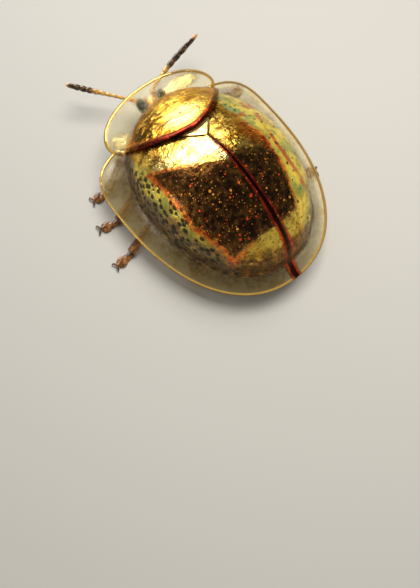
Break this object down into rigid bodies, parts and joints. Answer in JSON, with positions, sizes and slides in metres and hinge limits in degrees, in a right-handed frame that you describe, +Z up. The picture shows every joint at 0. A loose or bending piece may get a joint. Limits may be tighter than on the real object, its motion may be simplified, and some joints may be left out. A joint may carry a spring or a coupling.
{
  "type": "tortoise beetle",
  "caption": "Life-size golden tortoise beetle standing with feelers raised, its domed metallic shell ringed by a wide clear rim over short legs.",
  "frame": {"origin": "on the floor, under the middle of the whole model's bounding box", "axes": "+Z up, -Y the way the head faces, +X the beetle's left"},
  "size_m": [0.0066, 0.0086, 0.0032],
  "materials": {
    "wing_case": "metallic bronze and gold shell",
    "gold_shield": "metallic gold shell",
    "clear_margin": "clear amber shell edge",
    "amber": "satin orange brown",
    "underside": "dark satin",
    "feeler": "orange brown, black towards the club",
    "eye": "glossy black"
  },
  "bodies": {
    "root": {"elytron_left": "wing_case", "elytron_left_margin": "clear_margin", "elytron_right": "wing_case", "elytron_right_margin": "clear_margin", "scutellum": "gold_shield", "pronotum": "gold_shield", "pronotum_margin": "clear_margin", "prothorax": "underside", "thorax": "underside", "abdomen": "underside", "head": "amber", "eye_left": "eye", "eye_right": "eye", "antenna_left": "feeler", "antenna_right": "feeler", "leg_front_left": "amber", "leg_mid_left": "amber", "leg_hind_left": "amber", "leg_front_right": "amber", "leg_mid_right": "amber", "leg_hind_right": "amber"}
  },
  "joints": []
}
